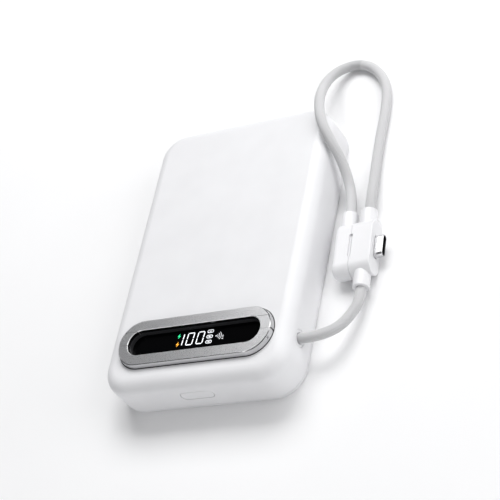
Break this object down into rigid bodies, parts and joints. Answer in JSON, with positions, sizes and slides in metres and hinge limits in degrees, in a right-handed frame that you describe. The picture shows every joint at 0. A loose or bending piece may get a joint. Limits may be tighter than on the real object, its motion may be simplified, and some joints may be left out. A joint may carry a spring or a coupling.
{
  "type": "magnetic power bank",
  "caption": "Slab power bank with charge display, fold-out ring stand, push button, magnetic charging face and a built-in cable whose plug parks in a sliding keeper.",
  "frame": {"origin": "centre of the magnetic charging face, on the surface the case lies on, without the cable", "axes": "+X towards the side the cable leaves, +Y towards the top edge, away from the button, +Z normal of the display face"},
  "size_m": [0.0921, 0.1382, 0.0236],
  "materials": {
    "shell": "smooth satin white with a faint pearl grain",
    "cover": "smooth satin white",
    "grip": "soft matte pale grey",
    "bezel": "matte black",
    "lens": "deep gloss black",
    "panel": "dark display panel",
    "board": "green solder mask",
    "flex": "amber flexible film",
    "lit_white": "lit white",
    "lit_green": "lit green",
    "lit_amber": "lit amber",
    "ring_metal": "fine blasted silver, soft sheen",
    "steel": "plain steel",
    "button": "satin white, a touch glossier than the shell",
    "switch_body": "black",
    "chip": "black epoxy",
    "inductor": "dark grey sintered",
    "ceramic": "tan ceramic",
    "pouch": "foil laminate",
    "nickel": "nickel",
    "foam": "dark foam",
    "magnet": "nickel plated",
    "copper": "enamelled copper",
    "ferrite": "dark ferrite",
    "gold": "gold plated",
    "insulator": "black",
    "tongue": "black",
    "plug_metal": "bright stainless",
    "braid": "fine white braid",
    "moulding": "satin white"
  },
  "bodies": {
    "case": {"front_housing": "shell", "back_cover": "cover", "grip_ring": "grip", "display_bezel": "bezel", "display_window": "lens", "display_module": "panel", "display_board": "board", "display_flex": "flex", "digit_tiles": "lit_white", "status_tiles": "lit_white", "input_bolt_tile": "lit_green", "output_bolt_tile": "lit_amber", "ring_frame": "ring_metal", "hinge_block_right": "ring_metal", "hinge_block_left": "ring_metal", "tact_switch": "switch_body", "main_board": "board", "board_screws": "steel", "control_chips": "chip", "inductors": "inductor", "capacitors": "ceramic", "cell_right": "pouch", "cell_left": "pouch", "cell_tabs": "nickel", "cell_foam": "foam", "magnet_ring": "magnet", "charging_coil": "copper", "ferrite_sheet": "ferrite", "shield_plate": "steel", "port_shell": "plug_metal", "port_tongue": "tongue", "port_contacts": "gold", "cord_gland": "moulding", "lower_cord": "braid", "loop_cord": "braid", "plug_housing": "moulding", "plug_collar": "moulding", "plug_nose": "moulding", "plug_shell": "plug_metal", "plug_insulator": "insulator", "plug_contacts": "gold"},
    "stand": {"stand_leg": "ring_metal", "hinge_pins": "steel"},
    "power_button": {"power_button": "button", "switch_plunger": "switch_body"},
    "keeper": {"keeper_housing": "moulding", "keeper_collar_upper": "moulding", "keeper_collar_lower": "moulding"}
  },
  "joints": [
    {"name": "stand_hinge", "type": "hinge", "parent": "case", "child": "stand", "pos_m": [0, -0.03845, 0.01713], "axis": [-1, 0, 0], "range_deg": [0, 90]},
    {"name": "button_press", "type": "slide", "parent": "case", "child": "power_button", "axis": [0, 1, 0], "range_m": [0, 0.0004], "stiffness_N_per_m": 3000, "springref_m": -0.0003},
    {"name": "keeper_pull_off", "type": "slide", "parent": "case", "child": "keeper", "axis": [0.9986, 0.0523, 0], "range_m": [0, 0.0106]}
  ]
}
